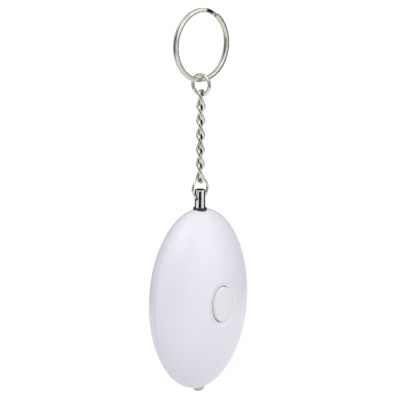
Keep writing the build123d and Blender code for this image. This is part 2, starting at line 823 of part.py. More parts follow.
# Lamp leads: up from the lamp, forward where the cavity is deep enough, and up to the front of the board
lead_front_y = min(tray_front_y, board_front_y) - lead_gap
lead_reach = lead_diameter / 2 + lead_shell_gap - lead_front_y - lead_slope_depth
deep_enough_z = case_z - (half_height - wall) * sqrt(1 - (lead_reach / (half_depth - wall)) ** 2)
lead_turn_z = max(lamp_top_z + lead_rise, deep_enough_z)
lead_end_z = board_bottom_z + lead_end_rise
with BuildPart() as lamp_leads:
    for side in (-1, 1):
        lead_x = side * lead_spacing / 2
        lead_points = [
            (lead_x, 0, lamp_top_z),
            (lead_x, 0, lead_turn_z),
            (lead_x, lead_front_y + lead_slope_depth, lead_turn_z),
            (lead_x, lead_front_y, lead_turn_z + lead_slope_rise),
            (lead_x, lead_front_y, lead_end_z),
            (lead_x, board_front_y, lead_end_z),
        ]
        add(round_wire(bent_path(lead_points, lead_bend_radius), lead_diameter))
lamp_leads.part.label = "lamp_leads"
export_step(lamp_leads.part, "parts/lamp_leads.step")

# Wires from the back of the board to the sounder's plate and ceramic
with BuildPart() as plate_wire:
    plate_wire_points = [
        (-board_wire_x, board_back_y, board_top_z - plate_wire_drop),
        (-board_wire_x, sounder_set_back - plate_wire_gap, board_top_z - plate_wire_drop),
        (-plate_wire_x, sounder_set_back - plate_wire_gap, sounder_z),
        (-plate_wire_x, sounder_set_back, sounder_z),
    ]
    add(round_wire(bent_path(plate_wire_points, insulation_bend_radius), insulation_diameter))
plate_wire.part.label = "plate_wire"
export_step(plate_wire.part, "parts/plate_wire.step")

with BuildPart() as ceramic_wire:
    ceramic_wire_points = [
        (-board_wire_x, board_back_y, board_top_z - ceramic_wire_drop),
        (-board_wire_x, sounder_set_back - ceramic_wire_gap, board_top_z - ceramic_wire_drop),
        (-ceramic_wire_x, sounder_set_back - ceramic_wire_gap, sounder_z + ceramic_wire_rise),
        (-ceramic_wire_x, sounder_set_back - ceramic_thickness, sounder_z + ceramic_wire_rise),
    ]
    add(round_wire(bent_path(ceramic_wire_points, insulation_bend_radius), insulation_diameter))
ceramic_wire.part.label = "ceramic_wire"
export_step(ceramic_wire.part, "parts/ceramic_wire.step")
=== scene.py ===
import json
from functools import wraps
from math import cos, pi, radians, sin, sqrt

import bmesh
import bpy
from bpy.props import FloatProperty, FloatVectorProperty, IntProperty, PointerProperty
from mathutils import Matrix, Quaternion, Vector

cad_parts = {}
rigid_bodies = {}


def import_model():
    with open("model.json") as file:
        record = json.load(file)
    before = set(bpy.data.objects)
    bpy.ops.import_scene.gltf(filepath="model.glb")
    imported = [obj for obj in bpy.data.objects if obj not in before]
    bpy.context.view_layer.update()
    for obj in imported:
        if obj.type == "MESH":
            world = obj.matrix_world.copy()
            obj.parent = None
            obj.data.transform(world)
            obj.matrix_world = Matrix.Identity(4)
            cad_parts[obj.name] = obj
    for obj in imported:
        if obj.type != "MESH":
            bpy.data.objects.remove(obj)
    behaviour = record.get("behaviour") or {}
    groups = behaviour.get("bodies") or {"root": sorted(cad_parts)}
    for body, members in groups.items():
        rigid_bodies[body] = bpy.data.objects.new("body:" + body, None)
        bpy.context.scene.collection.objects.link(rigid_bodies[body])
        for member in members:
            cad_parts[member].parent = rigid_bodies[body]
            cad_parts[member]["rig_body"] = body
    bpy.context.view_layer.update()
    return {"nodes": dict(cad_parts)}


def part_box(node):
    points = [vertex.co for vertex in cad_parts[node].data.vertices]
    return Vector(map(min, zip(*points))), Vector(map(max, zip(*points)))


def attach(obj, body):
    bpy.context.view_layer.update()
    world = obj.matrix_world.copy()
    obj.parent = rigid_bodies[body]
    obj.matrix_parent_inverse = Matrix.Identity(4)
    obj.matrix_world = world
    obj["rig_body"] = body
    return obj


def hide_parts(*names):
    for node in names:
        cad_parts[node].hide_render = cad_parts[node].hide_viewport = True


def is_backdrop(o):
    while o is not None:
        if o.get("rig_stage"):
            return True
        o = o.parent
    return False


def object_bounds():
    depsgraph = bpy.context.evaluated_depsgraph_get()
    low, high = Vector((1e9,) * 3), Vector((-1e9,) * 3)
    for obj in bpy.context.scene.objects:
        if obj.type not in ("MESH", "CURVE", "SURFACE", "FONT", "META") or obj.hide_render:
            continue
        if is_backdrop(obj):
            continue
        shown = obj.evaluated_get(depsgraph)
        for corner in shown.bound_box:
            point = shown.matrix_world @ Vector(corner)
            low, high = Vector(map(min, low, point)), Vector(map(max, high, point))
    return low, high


bl_info = {
    "name": "Personal safety alarm",
    "version": (1, 0, 0),
    "blender": (4, 5, 0),
    "location": "View3D > Sidebar > Alarm",
    "description": "Dresses the packed alarm: shells, button, pin, chain, rings, lamp and stage",
    "category": "Object",
}

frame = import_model()
MM = 0.001

# Steps of curves, and how often a shell's faces are divided at most
BAND_STEPS = 420
JUMP_RING_STEPS = 128
LINK_STEPS = 12
BUTTON_STEPS = 120
SKIN_ROUNDS = 5

# How near points count as one, as on the pin's side, on a form or at a screw's top
MERGE_DISTANCE = 0.001 * MM
SIDE_TOLERANCE = 0.002 * MM
FACE_TOLERANCE = 0.01 * MM
TOP_TOLERANCE = 0.02 * MM

# Marks on a shell's faces, and where the rounding between the egg and the dish lies
PLAIN, ON_EGG, ON_DISH, ON_RIM = range(4)
RIM_LEVEL = 0.92
RIM_DEPTH = 3 * MM
RIM_INNER, RIM_OUTER = 1.12, 1.9

# Screws: least distance between two, and the thread's root as a share of the shank
SCREW_SPACING = 4 * MM
THREAD_ROOT = 0.8

# Sockets of trees, and those of the Mix node that carry its factor and colours
FLOAT, COLOR = "NodeSocketFloat", "NodeSocketColor"
MIX_FACTOR, MIX_FIRST, MIX_SECOND, MIX_RESULT = 0, 6, 7, 2

# Values that are the same all over a finish, and the reach of the painted shade in the nickel's crevices
PLASTIC_IOR, COAT_ROUGHNESS = 1.46, 0.15
RESIN_IOR, RESIN_CLEARNESS = 1.52, 0.75
GRAIN_DEPTH, MARK_DEPTH, PAINTED_SHADE_REACH = 0.05 * MM, 0.02 * MM, 0.5 * MM

# Stage: colours, heights that things aim at or turn about, and the camera
WHITE = (1.0, 1.0, 1.0)
ROOM_COLOR = (0.97, 0.98, 1.0)
FLOOR_COLOR, FLOOR_GLOW, FLOOR_RADIUS = (0.80, 0.80, 0.81), 0.50, 8.0
CARD_COLOR = (0.03, 0.03, 0.035)
LIGHT_AIM, CARD_AIM, CAMERA_HEIGHT = -0.07, -0.06, -57 * MM
SENSOR_WIDTH, NEAR_CLIP, FAR_CLIP = 36.0, 0.01, 30.0

# Azimuth and elevation in degrees, distance and size in metres; a card's azimuth is from the camera's
KEY_PLACE = (-52.0, 48.0, 0.9, 0.8)
FILL_PLACE = (30.0, 22.0, 1.0, 0.9)
CARD_PLACES = {
    "front": (0.0, 4.0, 0.9, 1.1, 1.7),
    "right": (118.0, 0.0, 0.9, 1.0, 1.5),
    "left": (-121.0, 0.0, 0.9, 1.0, 1.5),
    "back": (180.0, 14.0, 0.9, 1.0, 0.6),
}


# Settings


def length_value(name, text, size, least=0.0):
    """A setting for a length in millimetres."""
    return FloatProperty(
        name=name, description=text, default=size * MM, min=least * MM, subtype="DISTANCE", unit="LENGTH"
    )


def angle_value(name, text, turn):
    """A setting for an angle in degrees."""
    return FloatProperty(name=name, description=text, default=radians(turn), subtype="ANGLE", unit="ROTATION")


def color_value(name, text, value):
    """A setting for a colour."""
    return FloatVectorProperty(
        name=name, description=text, default=value, min=0.0, max=1.0, subtype="COLOR"
    )


def level_value(name, text, value, unit="NONE"):
    """A setting for a light's power or a level of light."""
    return FloatProperty(name=name, description=text, default=value, min=0.0, unit=unit)


class RingSettings(bpy.types.PropertyGroup):
    """Sizes of the split ring and the two jump rings."""

    band_thickness: length_value("Coil thickness", "Thickness of one coil of the split ring", 0.7, 0.2)
    band_rounding: length_value("Band rounding", "Rounding along the flat wire's edges", 0.3, 0.02)
    band_width: length_value("Band width", "Radial width of the split ring's flat wire", 1.5, 0.4)
    jog_turn: angle_value("Step place", "Angle at which the two coils cross over", 73.0)
    jog_span: angle_value("Step span", "Angle over which the wire steps from coil to coil", 19.0)
    end_gap: length_value("End gap", "Gap between the wire's end and the step", 1.5, 0.1)
    upper_wire: length_value("Upper ring wire", "Wire diameter of the upper jump ring", 1.2, 0.3)
    upper_turn: angle_value("Upper ring turn", "Turn of the upper jump ring about the vertical", -78.0)
    lower_wire: length_value("Lower ring wire", "Wire diameter of the lower jump ring", 0.85, 0.3)
    cut_width: length_value("Saw cut", "Half width of the cut through a jump ring", 0.08, 0.01)


class ChainSettings(bpy.types.PropertyGroup):
    """Sizes of the twisted links."""

    wire: length_value("Link wire", "Wire diameter of the links", 1.2, 0.3)
    bend_radius: length_value("Link bend", "Radius of the wire's centre line at a link's ends", 1.33, 0.4)
    reach: length_value("Link reach", "How far a link reaches past its place at each end", 0.05)
    top_turn: angle_value("Top turn", "Turn of a link's upper bend about the vertical", 14.0)
    bottom_turn: angle_value("Bottom turn", "Turn of a link's lower bend about the vertical", 104.0)
    flat_share: level_value("Flat share", "Share of a link's height that stays untwisted at each end", 0.1)
    sides: IntProperty(name="Wire sides", description="Sides of the round wire", default=24, min=8, max=64)


class PinSettings(bpy.types.PropertyGroup):
    """Sizes of the pull pin, its tip, its socket and the lamp."""

    head_length: length_value("Head length", "Length of the pin's head", 6.35)
    head_rounding: length_value("Head rounding", "Rounding round the top of the pin's head", 0.3)
    foot_rounding: length_value("Foot rounding", "Rounding round the foot of the pin's head", 0.1)
    hole_depth: length_value("Hole depth", "Depth of the cross hole below the top of the head", 2.9)
    hole_clearance: length_value("Hole clearance", "Gap between the cross hole and the ring's wire", 0.14)
    shaft: length_value("Shaft", "Diameter of the pin's shaft", 2.5)
    spigot: length_value("Spigot", "Diameter of the peg inside the tip", 1.2)
    spigot_length: length_value("Spigot length", "Length of the peg inside the tip", 1.6)
    tip_taper: length_value("Tip taper", "Chamfer round the end of the tip", 0.8)
    bore_gap: length_value("Bore gap", "Gap between the shaft and the socket's bore", 0.05)
    collar: length_value("Collar", "Diameter of the socket's collar", 4.8)
    collar_rounding: length_value("Collar rounding", "Rounding round the collar", 0.12)
    flange_drop: length_value("Flange drop", "Drop from the collar's top to its flange", 2.75)
    flange_thickness: length_value("Flange thickness", "Thickness of the socket's flange", 1.2)
    sleeve: length_value("Sleeve", "Diameter of the socket's sleeve", 5.0)
    lamp: length_value("Lamp", "Diameter of the lamp's round nose", 5.0)
    lamp_flange: length_value("Lamp flange", "Thickness of the lamp's flange", 1.0)


class CaseSettings(bpy.types.PropertyGroup):
    """Sizes of the case and button, and the colours."""

    shell_color: color_value("Shell colour", "Colour of the two shells", (0.795, 0.795, 0.845))
    button_color: color_value("Button colour", "Colour of the push button", (0.79, 0.79, 0.79))
    nickel_color: color_value("Nickel colour", "Colour of the plated rings and links", (0.57, 0.545, 0.485))
    chrome_color: color_value("Chrome colour", "Colour of the pull pin's plating", (0.68, 0.67, 0.69))
    skin_edge: length_value("Skin mesh size", "Longest edge on the shells' outer faces", 1.3, 0.5)
    height: length_value("Case height", "Height of the egg-shaped case", 66.0)
    button_rise: length_value("Button rise", "Height of the button above the middle of the case", 1.0)
    dish_lift: length_value("Dish lift", "Height of the dish form's centre in front of the face", 0.6)
    dish_depth: length_value("Dish depth", "Depth of the dish below the face", 1.45)
    dish_width: length_value("Dish width", "Width of the dish at the face", 15.0)
    dish_height: length_value("Dish height", "Height of the dish at the face", 18.0)
    button_width: length_value("Button width", "Width of the oval button's cap", 8.6)
    button_height: length_value("Button height", "Height of the oval button's cap", 12.6)
    button_crown: length_value("Button crown", "Rise of the button's face at its centre", 0.12)
    button_rounding: length_value("Button rounding", "Rounding round the button's face", 0.6)
    button_flange: length_value("Button flange", "Width and thickness of the flange behind the shell", 0.8)
    button_skin: length_value("Button skin", "Wall of the hollow button", 1.2)
    button_stem: length_value("Button stem", "Diameter of the stem on the switch", 4.0)


class ScrewSettings(bpy.types.PropertyGroup):
    """Sizes of the case screws."""

    head: length_value("Head", "Diameter of the head", 3.6)
    head_height: length_value("Head height", "Height of the head", 1.4)
    shank: length_value("Shank", "Diameter over the thread", 1.7)
    pitch: length_value("Pitch", "Pitch of the thread", 0.7)
    slot_length: length_value("Slot length", "Length of each slot of the cross recess", 2.0)
    slot_width: length_value("Slot width", "Width of each slot of the cross recess", 0.45)


class StageSettings(bpy.types.PropertyGroup):
    """Camera, floor and lights."""

    azimuth: angle_value("Camera azimuth", "Turn of the camera round the object, 0 in front", -43.5)
    elevation: angle_value("Camera elevation", "Height of the camera above the level", 14.0)
    roll: angle_value("Camera roll", "Turn of the picture about its centre", 0.6)
    distance: length_value("Camera distance", "Distance from the camera to the middle of the object", 450.0)
    aim_drop: length_value("Aim drop", "Drop from the split ring's centre to the middle of the picture", 53.7)
    lens: FloatProperty(
        name="Focal length", description="Focal length for a sensor 36 mm wide",
        default=116.5, min=10.0, unit="CAMERA",
    )
    floor_drop: length_value("Floor drop", "Distance from the lamp's tip down to the floor", 250.0)
    key_power: level_value("Key light", "Power of the large light above the front", 3.3, "POWER")
    fill_power: level_value("Fill light", "Power of the soft light from the right", 2.0, "POWER")
    world_level: level_value("Room level", "Level of the light that comes from all round", 0.70)


# Things that are made once


def once(store, name):
    """Has a maker run only where nothing of this name is in the store yet."""
    def wrap(make):
        @wraps(make)
        def find():
            return getattr(bpy.data, store).get(name) or make(name)
        return find
    return wrap


# Meshes


def link_object(name, data):
    """A new object at the origin in the scene's collection."""
    item = bpy.data.objects.new(name, data)
    bpy.context.scene.collection.objects.link(item)
    return item


def mesh_object(name, form):
    """An object from a bmesh, which is freed."""
    mesh = bpy.data.meshes.new(name)
    form.to_mesh(mesh)
    form.free()
    return link_object(name, mesh)


def discard(item):
    """Removes an object and its mesh."""
    mesh = item.data
    bpy.data.objects.remove(item)
    bpy.data.meshes.remove(mesh)


def smooth(item, angle):
    """Smooth shading, with edges sharper than the angle in degrees kept sharp."""
    item.data.shade_smooth()
    item.data.set_sharp_from_angle(angle=radians(angle))


def finish_piece(item, body, nodes, material=None):
    """Gives a piece its material, its body and the nodes that it stands for."""
    if material is not None:
        item.data.materials.clear()
        item.data.materials.append(material)
    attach(item, body)
    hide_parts(*nodes)


def turns_round(steps):
    """Angles in equal steps round a circle."""
    return [2 * pi * step / steps for step in range(steps)]


def arc(centre_radius, centre_height, radius, start, end, steps):
    """Points (radius, height) of an arc, from one angle to another, in degrees."""
    turns = [radians(start + (end - start) * step / steps) for step in range(steps + 1)]
    return [(centre_radius + radius * cos(t), centre_height + radius * sin(t)) for t in turns]


def revolved(name, profile, steps=96, closed=False):
    """A form turned about the Z axis from points (radius, height) in metres."""
    form = bmesh.new()
    rings = []
    for radius, height in profile:
        turns = turns_round(steps if radius else 1)
        rings.append([form.verts.new((radius * cos(t), radius * sin(t), height)) for t in turns])
    bridge_rings(form, rings, closed)
    return mesh_object(name, form)


def bridge_rings(form, rings, closed=False):
    """Joins each ring of points to the next with faces, and turns them outwards."""
    pairs = list(zip(rings, rings[1:]))
    if closed:
        pairs.append((rings[-1], rings[0]))
    for first, second in pairs:
        count = max(len(first), len(second))
        for step in range(count):
            after = (step + 1) % count
            corners = dict.fromkeys((
                first[step % len(first)], first[after % len(first)],
                second[after % len(second)], second[step % len(second)],
            ))
            if len(corners) > 2:
                form.faces.new(list(corners))
    bmesh.ops.recalc_face_normals(form, faces=form.faces)


def line_object(name, points, joined=True, closed=False):
    """Points in an object, joined by edges as the path that a tree sweeps, or loose."""
    mesh = bpy.data.meshes.new(name)
    edges = [(step, step + 1) for step in range(len(points) - 1)] if joined else []
    if closed:
        edges.append((len(points) - 1, 0))
    mesh.from_pydata(points, edges, [])
    return link_object(name, mesh)


def cut_away(item, cutter):
    """Cuts one form out of another and removes the cutter."""
    step = item.modifiers.new("cut", "BOOLEAN")
    step.operation = "DIFFERENCE"
    step.solver = "EXACT"
    step.object = cutter
    bake(item)
    discard(cutter)


def bake(item):
    """Turns an object with its modifiers into a plain mesh and takes the modifiers off."""
    graph = bpy.context.evaluated_depsgraph_get()
    graph.update()
    result = bpy.data.meshes.new_from_object(
        item.evaluated_get(graph), preserve_all_data_layers=True, depsgraph=graph
    )
    old = item.data
    item.modifiers.clear()
    item.data = result
    result.name = item.name
    bpy.data.meshes.remove(old)


def set_normals(item, rule):
    """Own normals where the rule gives one for a face and a corner, and the usual ones elsewhere."""
    mesh = item.data
    normals = [Vector(n.vector) for n in mesh.corner_normals]
    for face in mesh.polygons:
        for corner in face.loop_indices:
            found = rule(face, mesh.vertices[mesh.loops[corner].vertex_index])
            if found is not None:
                normals[corner] = found
    mesh.normals_split_custom_set([tuple(n) for n in normals])


# Node trees


def new_group(name, kind, inputs, outputs):
    """An empty node group with named inputs and outputs, each given with its kind of socket."""
    group = bpy.data.node_groups.new(name, kind)
    for way, sockets in (("INPUT", inputs), ("OUTPUT", outputs)):
        for label, socket in sockets:
            group.interface.new_socket(label, in_out=way, socket_type=socket)
    return group, group.nodes.new("NodeGroupInput"), group.nodes.new("NodeGroupOutput")


def add_node(tree, kind, inputs=None, **settings):
    """A new node with its settings and the values of its inputs."""
    node = tree.nodes.new(kind)
    for key, value in settings.items():
        setattr(node, key, value)
    for key, value in (inputs or {}).items():
        node.inputs[key].default_value = value
    return node


def connect(tree, *wires):
    """Links nodes, each wire given as (node, output, node, input)."""
    for start, output, end, socket in wires:
        tree.links.new(start.outputs[output], end.inputs[socket])


def geometry_tree(name, inputs):
    """An empty geometry tree that takes and gives geometry, with named inputs and a material."""
    shape = (("Geometry", "NodeSocketGeometry"),)
    material = (("Material", "NodeSocketMaterial"),)
    return new_group(name, "GeometryNodeTree", shape + inputs + material, shape)


def close_tree(tree, source, last, result, output):
    """Ends a tree with smooth shading, realized instances and the material."""
    shade = add_node(tree, "GeometryNodeSetShadeSmooth")
    realize = add_node(tree, "GeometryNodeRealizeInstances")
    paint = add_node(tree, "GeometryNodeSetMaterial")
    connect(
        tree,
        (last, result, shade, "Geometry"),
        (shade, "Geometry", realize, "Geometry"),
        (realize, "Geometry", paint, "Geometry"),
        (source, "Material", paint, "Material"),
        (paint, "Geometry", output, "Geometry"),
    )
    return tree


@once("node_groups", "round_wire")
def round_wire_tree(name):
    """Sweeps a circle along the object's line."""
    tree, source, output = geometry_tree(name, (("Wire Diameter", FLOAT), ("Sides", "NodeSocketInt")))
    path = add_node(tree, "GeometryNodeMeshToCurve")
    half = add_node(tree, "ShaderNodeMath", {1: 2.0}, operation="DIVIDE")
    circle = add_node(tree, "GeometryNodeCurvePrimitiveCircle")
    sweep = add_node(tree, "GeometryNodeCurveToMesh", {"Fill Caps": True})
    connect(
        tree,
        (source, "Geometry", path, "Mesh"),
        (source, "Wire Diameter", half, 0),
        (half, 0, circle, "Radius"),
        (source, "Sides", circle, "Resolution"),
        (path, "Curve", sweep, "Curve"),
        (circle, "Curve", sweep, "Profile Curve"),
    )
    return close_tree(tree, source, sweep, "Mesh", output)


@once("node_groups", "flat_band")
def flat_band_tree(name):
    """Sweeps a rounded rectangle along a level line, then stands the result up."""
    tree, source, output = geometry_tree(
        name, (("Width", FLOAT), ("Thickness", FLOAT), ("Rounding", FLOAT))
    )
    path = add_node(tree, "GeometryNodeMeshToCurve")
    upright = add_node(tree, "GeometryNodeSetCurveNormal", mode="Z_UP")
    outline = add_node(tree, "GeometryNodeCurvePrimitiveQuadrilateral")
    rounding = add_node(tree, "GeometryNodeFilletCurve", {"Count": 5}, mode="POLY")
    sweep = add_node(tree, "GeometryNodeCurveToMesh", {"Fill Caps": True})
    stand = add_node(tree, "GeometryNodeTransform", {"Rotation": (pi / 2, 0.0, 0.0)})
    connect(
        tree,
        (source, "Geometry", path, "Mesh"),
        (path, "Curve", upright, "Curve"),
        (source, "Width", outline, "Width"),
        (source, "Thickness", outline, "Height"),
        (outline, "Curve", rounding, "Curve"),
        (source, "Rounding", rounding, "Radius"),
        (upright, "Curve", sweep, "Curve"),
        (rounding, "Curve", sweep, "Profile Curve"),
        (sweep, "Mesh", stand, "Geometry"),
    )
    return close_tree(tree, source, stand, "Geometry", output)


@once("node_groups", "repeated_form")
def repeated_tree(name):
    """Puts one form at each of the object's points."""
    tree, source, output = geometry_tree(name, (("Form", "NodeSocketObject"), ("Size", FLOAT)))
    form = add_node(tree, "GeometryNodeObjectInfo")
    points = add_node(tree, "GeometryNodeInstanceOnPoints")
    connect(
        tree,
        (source, "Form", form, "Object"),
        (source, "Geometry", points, "Points"),
        (form, "Geometry", points, "Instance"),
        (source, "Size", points, "Scale"),
    )
    return close_tree(tree, source, points, "Instances", output)


def grow(item, tree, **values):
    """Runs a tree on an object with the given inputs and bakes the result."""
    modifier = item.modifiers.new("form", "NODES")
    modifier.node_group = tree
    for socket in tree.interface.items_tree:
        key = socket.name.lower().replace(" ", "_")
        if socket.in_out == "INPUT" and key in values:
            modifier[socket.identifier] = values[key]
    bake(item)


# Materials


def surface_group(name, second, fine):
    """An empty surface group, with its own names for its second colour and its fine marks."""
    inputs = (
        ("Vector", "NodeSocketVector"), ("Color", COLOR), (second, COLOR), ("Patch Scale", FLOAT),
        (f"{fine} Scale", FLOAT), ("Roughness Low", FLOAT), ("Roughness High", FLOAT),
    )
    outputs = (("Color", COLOR), ("Roughness", FLOAT), ("Height", FLOAT))
    return new_group(name, "ShaderNodeTree", inputs, outputs)


def close_surface(group, source, output, second, mask, rough, span, fine):
    """Blends the two colours by a mask, spreads the roughness by a noise, and gives the fine marks."""
    blend = add_node(group, "ShaderNodeMix", data_type="RGBA")
    spread = add_node(group, "ShaderNodeMapRange", {"From Min": span[0], "From Max": span[1]})
    connect(
        group,
        (*mask, blend, MIX_FACTOR),
        (source, "Color", blend, MIX_FIRST),
        (source, second, blend, MIX_SECOND),
        (rough, "Fac", spread, "Value"),
        (source, "Roughness Low", spread, "To Min"),
        (source, "Roughness High", spread, "To Max"),
        (blend, MIX_RESULT, output, "Color"),
        (spread, "Result", output, "Roughness"),
        (fine, "Fac", output, "Height"),
    )
    return group


@once("node_groups", "moulded_surface")
def moulded_surface_group(name):
    """Soft variation of colour and roughness with a fine grain, for moulded and coated parts."""
    group, source, output = surface_group(name, "Shade", "Grain")
    patches = add_node(group, "ShaderNodeTexNoise", {"Detail": 3.0})
    grain = add_node(group, "ShaderNodeTexNoise", {"Detail": 2.0})
    connect(
        group,
        (source, "Vector", patches, "Vector"),
        (source, "Patch Scale", patches, "Scale"),
        (source, "Vector", grain, "Vector"),
        (source, "Grain Scale", grain, "Scale"),
    )
    mask = (patches, "Fac")
    return close_surface(group, source, output, "Shade", mask, patches, (0.3, 0.7), grain)


@once("node_groups", "rubbed_metal")
def rubbed_metal_group(name):
    """Fine rubbing marks on metal: long thin streaks and dull patches."""
    group, source, output = surface_group(name, "Tarnish", "Mark")
    patches = add_node(group, "ShaderNodeTexNoise", {"Detail": 4.0})
    stretch = add_node(
        group, "ShaderNodeMapping", {"Rotation": (0.5, 0.3, 0.9), "Scale": (1.0, 0.12, 1.0)}
    )
    marks = add_node(group, "ShaderNodeTexNoise", {"Detail": 2.0})
    dull = add_node(group, "ShaderNodeMapRange", {"From Min": 0.5, "From Max": 0.8})
    connect(
        group,
        (source, "Vector", patches, "Vector"),
        (source, "Patch Scale", patches, "Scale"),
        (source, "Vector", stretch, "Vector"),
        (stretch, "Vector", marks, "Vector"),
        (source, "Mark Scale", marks, "Scale"),
        (patches, "Fac", dull, "Value"),
    )
    mask = (dull, "Result")
    return close_surface(group, source, output, "Tarnish", mask, marks, (0.3, 0.75), marks)


def base_material(name, group, colors, scales, rough, bump, depth):
    """A material whose surface group feeds its colour, roughness and bump."""
    material = bpy.data.materials.new(name)
    material.use_nodes = True
    tree = material.node_tree
    shader = tree.nodes["Principled BSDF"]
    place = add_node(tree, "ShaderNodeTexCoord")
    surface = add_node(tree, "ShaderNodeGroup", node_tree=group)
    values = [(*color, 1.0) for color in colors] + [*scales, *rough]
    for socket, value in zip(surface.inputs[1:], values):
        socket.default_value = value
    relief = add_node(tree, "ShaderNodeBump", {"Strength": bump, "Distance": depth})
    connect(
        tree,
        (place, "Object", surface, "Vector"),
        (surface, "Color", shader, "Base Color"),
        (surface, "Roughness", shader, "Roughness"),
        (surface, "Height", relief, "Height"),
        (relief, "Normal", shader, "Normal"),
    )
    return material, shader


def moulded(name, color, shade, rough, patch=60.0, grain=4000.0, bump=0.06, coat=0.0):
    """Plastic, rubber, lacquer or ceramic."""
    if name in bpy.data.materials:
        return bpy.data.materials[name]
    material, shader = base_material(
        name, moulded_surface_group(), (color, shade), (patch, grain), rough, bump, GRAIN_DEPTH
    )
    shader.inputs["IOR"].default_value = PLASTIC_IOR
    shader.inputs["Coat Weight"].default_value = coat
    shader.inputs["Coat Roughness"].default_value = COAT_ROUGHNESS
    return material


def metal(name, color, tarnish, rough, patch=250.0, marks=1500.0, bump=0.05):
    """Plated or bare metal."""
    if name in bpy.data.materials:
        return bpy.data.materials[name]
    material, shader = base_material(
        name, rubbed_metal_group(), (color, tarnish), (patch, marks), rough, bump, MARK_DEPTH
    )
    shader.inputs["Metallic"].default_value = 1.0
    return material


def shaded(color, level):
    """A colour at a share of its level."""
    return tuple(part * level for part in color)


def shell_material():
    """Satin white plastic, cool, with a thin clear coat."""
    color = tuple(bpy.context.scene.alarm_case.shell_color)
    return moulded(
        "shell_white", color, shaded(color, 0.975), (0.30, 0.38),
        patch=70.0, grain=3500.0, bump=0.04, coat=0.12,
    )


def button_material():
    """Satin white plastic, a little duller than the shells."""
    color = tuple(bpy.context.scene.alarm_case.button_color)
    return moulded(
        "button_white", color, shaded(color, 0.97), (0.32, 0.42),
        patch=90.0, grain=3000.0, bump=0.05, coat=0.1,
    )


@once("materials", "nickel_plate")
def nickel_material(name):
    """Bright nickel plate with dull patches, and painted shade in its crevices."""
    color = tuple(bpy.context.scene.alarm_case.nickel_color)
    material = metal(name, color, shaded(color, 0.62), (0.12, 0.26))
    tree = material.node_tree
    shader = tree.nodes["Principled BSDF"]
    plate = shader.inputs["Base Color"].links[0].from_node
    # Painted shade: ambient occlusion darkens the plate's colour between the coils and where links cross
    painted_shade = add_node(tree, "ShaderNodeAmbientOcclusion", {"Distance": PAINTED_SHADE_REACH}, samples=8)
    connect(tree, (plate, "Color", painted_shade, "Color"), (painted_shade, "Color", shader, "Base Color"))
    return material


def chrome_material():
    """Bright chrome plate."""
    color = tuple(bpy.context.scene.alarm_case.chrome_color)
    return metal(
        "pin_chrome", color, shaded(color, 0.8), (0.07, 0.16), patch=300.0, marks=1200.0, bump=0.03
    )


def collar_material():
    """Black satin plastic of the pin's socket and tip."""
    return moulded("socket_black", (0.022, 0.022, 0.024), (0.03, 0.03, 0.03), (0.35, 0.5))


def zinc_material():
    """Zinc plate of the screws."""
    return metal("screw_zinc", (0.60, 0.61, 0.63), (0.42, 0.42, 0.43), (0.22, 0.4))


@once("materials", "clear_resin")
def lens_material(name):
    """Clear cast resin with a faint haze."""
    material, shader = base_material(
        name, moulded_surface_group(), ((0.60, 0.61, 0.60), (0.50, 0.51, 0.50)),
        scales=(200.0, 1800.0), rough=(0.03, 0.09), bump=0.03, depth=MARK_DEPTH,
    )
    shader.inputs["Transmission Weight"].default_value = RESIN_CLEARNESS
    shader.inputs["IOR"].default_value = RESIN_IOR
    return material


# Rings and chain


def body_of(node):
    """The name of the body that carries a node."""
    return frame["nodes"][node]["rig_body"]


def make_split_ring():
    """Two coils of flat wire, wound as one length with a step between them."""
    sizes = bpy.context.scene.alarm_rings
    low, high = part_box("split_ring")
    radius = (high.z - low.z) / 2 - sizes.band_width / 2
    coil = (high.y - low.y) / 2 - sizes.band_thickness / 2
    turn = 2 * pi - sizes.jog_span - sizes.end_gap / radius
    start = sizes.jog_turn - sizes.jog_span / 2 - turn
    end = sizes.jog_turn + sizes.jog_span / 2 + turn
    points = []
    for step in range(BAND_STEPS + 1):
        angle = start + (end - start) * step / BAND_STEPS
        share = min(max((angle - sizes.jog_turn) / sizes.jog_span + 0.5, 0.0), 1.0)
        points.append((radius * cos(angle), radius * sin(angle), -coil * cos(pi * share)))
    item = line_object("ring_band", points)
    grow(
        item, flat_band_tree(), width=sizes.band_width, thickness=sizes.band_thickness,
        rounding=sizes.band_rounding, material=nickel_material(),
    )
    smooth(item, angle=40.0)
    finish_piece(item, "key_ring", ["split_ring"])


def make_jump_ring(name, node, wire, turn):
    """A ring of round wire, sawn through at its side."""
    low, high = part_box(node)
    radius = (high.z - low.z) / 2 - wire / 2
    centre = Vector((0, 0, (high.z + low.z) / 2))
    across = Vector((cos(turn), sin(turn), 0))
    gap = bpy.context.scene.alarm_rings.cut_width / radius
    points = []
    for step in range(JUMP_RING_STEPS + 1):
        angle = gap + (2 * pi - 2 * gap) * step / JUMP_RING_STEPS
        points.append(centre + across * (radius * cos(angle)) + Vector((0, 0, radius * sin(angle))))
    item = line_object(name, points)
    sides = bpy.context.scene.alarm_chain.sides
    grow(item, round_wire_tree(), wire_diameter=wire, sides=sides, material=nickel_material())
    smooth(item, angle=40.0)
    finish_piece(item, body_of(node), [node])


def link_points(top, bottom, sizes):
    """Centre line of a link: a long flat loop, twisted from its top down to its bottom."""
    bend, height = sizes.bend_radius, top - bottom
    arcs = [pi / 2 * step / LINK_STEPS for step in range(LINK_STEPS)]
    half = [(bend * sin(turn), bend * (1 - cos(turn))) for turn in arcs]
    half += [(bend, bend + (height - 2 * bend) * step / LINK_STEPS) for step in range(LINK_STEPS + 1)]
    half += [(across, height - drop) for across, drop in half[LINK_STEPS - 1:0:-1]] + [(0.0, height)]
    points = []
    for side, run in ((1, half), (-1, half[::-1][1:-1])):
        for across, drop in run:
            share = (drop / height - sizes.flat_share) / (1 - 2 * sizes.flat_share)
            share = min(max(share, 0.0), 1.0)
            turn = sizes.top_turn + (sizes.bottom_turn - sizes.top_turn) * share
            points.append(Vector((side * across * cos(turn), side * across * sin(turn), top - drop)))
    return points


